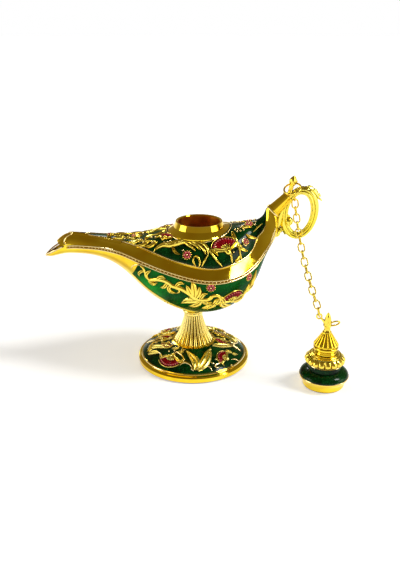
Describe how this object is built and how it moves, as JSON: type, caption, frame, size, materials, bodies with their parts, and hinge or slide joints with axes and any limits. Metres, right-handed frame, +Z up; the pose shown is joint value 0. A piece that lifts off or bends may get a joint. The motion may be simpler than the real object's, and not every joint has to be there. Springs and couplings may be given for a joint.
{
  "type": "genie oil lamp",
  "caption": "Footed oil lamp with a long spout, scroll handle and green enamelled body; its domed lid hangs from the tail on a fine chain.",
  "frame": {"origin": "centre of the foot where it meets the table", "axes": "+X runs from the spout to the handle, +Z is up, and the lid stands on the -Y side, where the picture is taken from"},
  "size_m": [0.1294, 0.0591, 0.0843],
  "materials": {
    "gold": "polished gold plate",
    "green_enamel": "glossy enamel",
    "red_enamel": "glossy enamel",
    "steel": "machined"
  },
  "bodies": {
    "lamp": {"lower_shell": "gold", "upper_shell": "gold", "dome_enamel": "green_enamel", "hull_enamel_front": "green_enamel", "hull_enamel_back": "green_enamel", "collar": "gold", "foot": "gold", "foot_enamel": "green_enamel", "foot_screw": "steel", "foot_washer": "steel", "stem": "gold", "tail_tube": "gold", "tail_finial": "gold", "handle": "gold"},
    "ring": {"jump_ring": "gold"},
    "chain_link_01": {"chain_link_01": "gold"},
    "chain_link_02": {"chain_link_02": "gold"},
    "chain_link_03": {"chain_link_03": "gold"},
    "chain_link_04": {"chain_link_04": "gold"},
    "chain_link_05": {"chain_link_05": "gold"},
    "chain_link_06": {"chain_link_06": "gold"},
    "chain_link_07": {"chain_link_07": "gold"},
    "chain_link_08": {"chain_link_08": "gold"},
    "chain_link_09": {"chain_link_09": "gold"},
    "chain_link_10": {"chain_link_10": "gold"},
    "chain_link_11": {"chain_link_11": "gold"},
    "chain_link_12": {"chain_link_12": "gold"},
    "chain_link_13": {"chain_link_13": "gold"},
    "chain_link_14": {"chain_link_14": "gold"},
    "chain_link_15": {"chain_link_15": "gold"},
    "chain_link_16": {"chain_link_16": "gold"},
    "chain_link_17": {"chain_link_17": "gold"},
    "lid": {"lid_base": "gold", "lid_enamel": "green_enamel", "lid_disc": "gold", "lid_bell": "gold", "lid_screw": "steel", "lid_finial": "gold"}
  },
  "joints": [
    {"name": "ring_swing", "type": "hinge", "parent": "lamp", "child": "ring", "pos_m": [0.04101, 0, 0.07968], "axis": [0.225, 0, 0.9744], "range_deg": [-10, 10]},
    {"name": "link_01_swing", "type": "hinge", "parent": "ring", "child": "chain_link_01", "pos_m": [0.04159, -0.00484, 0.0778], "axis": [0.9563, 0, 0.2924], "range_deg": [-8, 8]},
    {"name": "link_02_swing", "type": "hinge", "parent": "chain_link_01", "child": "chain_link_02", "pos_m": [0.04189, -0.00539, 0.07492], "axis": [0, -0.9821, 0.1882], "range_deg": [-8, 8]},
    {"name": "link_03_swing", "type": "hinge", "parent": "chain_link_02", "child": "chain_link_03", "pos_m": [0.04224, -0.00605, 0.07196], "axis": [-0.9934, -0.0245, -0.1116], "range_deg": [-8, 8]},
    {"name": "link_04_swing", "type": "hinge", "parent": "chain_link_03", "child": "chain_link_04", "pos_m": [0.04263, -0.00679, 0.06903], "axis": [0, 0.9705, -0.2409], "range_deg": [-8, 8]},
    {"name": "link_05_swing", "type": "hinge", "parent": "chain_link_04", "child": "chain_link_05", "pos_m": [0.04307, -0.0076, 0.06612], "axis": [0.9899, 0.0379, 0.1367], "range_deg": [-10, 10]},
    {"name": "link_06_swing", "type": "hinge", "parent": "chain_link_05", "child": "chain_link_06", "pos_m": [0.04355, -0.0085, 0.06324], "axis": [0, -0.956, 0.2934], "range_deg": [-10, 10]},
    {"name": "link_07_swing", "type": "hinge", "parent": "chain_link_06", "child": "chain_link_07", "pos_m": [0.04407, -0.00946, 0.0604], "axis": [-0.9856, -0.0539, -0.16], "range_deg": [-10, 10]},
    {"name": "link_08_swing", "type": "hinge", "parent": "chain_link_07", "child": "chain_link_08", "pos_m": [0.04463, -0.01051, 0.05759], "axis": [0, 0.9385, -0.3454], "range_deg": [-10, 10]},
    {"name": "link_09_swing", "type": "hinge", "parent": "chain_link_08", "child": "chain_link_09", "pos_m": [0.04523, -0.01163, 0.05481], "axis": [0.9808, 0.0724, 0.1812], "range_deg": [-10, 10]},
    {"name": "link_10_swing", "type": "hinge", "parent": "chain_link_09", "child": "chain_link_10", "pos_m": [0.04587, -0.01282, 0.05208], "axis": [0, -0.9179, 0.3968], "range_deg": [-10, 10]},
    {"name": "link_11_swing", "type": "hinge", "parent": "chain_link_10", "child": "chain_link_11", "pos_m": [0.04655, -0.01408, 0.04939], "axis": [-0.9753, -0.0933, -0.2002], "range_deg": [-10, 10]},
    {"name": "link_12_swing", "type": "hinge", "parent": "chain_link_11", "child": "chain_link_12", "pos_m": [0.04726, -0.01542, 0.04674], "axis": [0, 0.8942, -0.4476], "range_deg": [-10, 10]},
    {"name": "link_13_swing", "type": "hinge", "parent": "chain_link_12", "child": "chain_link_13", "pos_m": [0.04802, -0.01683, 0.04414], "axis": [0.9693, 0.1162, 0.2165], "range_deg": [-10, 10]},
    {"name": "link_14_swing", "type": "hinge", "parent": "chain_link_13", "child": "chain_link_14", "pos_m": [0.04881, -0.0183, 0.04159], "axis": [0, -0.8674, 0.4976], "range_deg": [-10, 10]},
    {"name": "link_15_swing", "type": "hinge", "parent": "chain_link_14", "child": "chain_link_15", "pos_m": [0.04963, -0.01984, 0.03909], "axis": [-0.963, -0.1408, -0.23], "range_deg": [-10, 10]},
    {"name": "link_16_swing", "type": "hinge", "parent": "chain_link_15", "child": "chain_link_16", "pos_m": [0.0505, -0.02145, 0.03665], "axis": [0, 0.8373, -0.5467], "range_deg": [-10, 10]},
    {"name": "link_17_swing", "type": "hinge", "parent": "chain_link_16", "child": "chain_link_17", "pos_m": [0.05139, -0.02312, 0.03426], "axis": [0.9562, 0.167, 0.2403], "range_deg": [-10, 10]},
    {"name": "lid_swing", "type": "hinge", "parent": "chain_link_17", "child": "lid", "pos_m": [0.05179, -0.02386, 0.0313], "axis": [0, 0.9614, -0.2753], "range_deg": [-12, 12]}
  ]
}
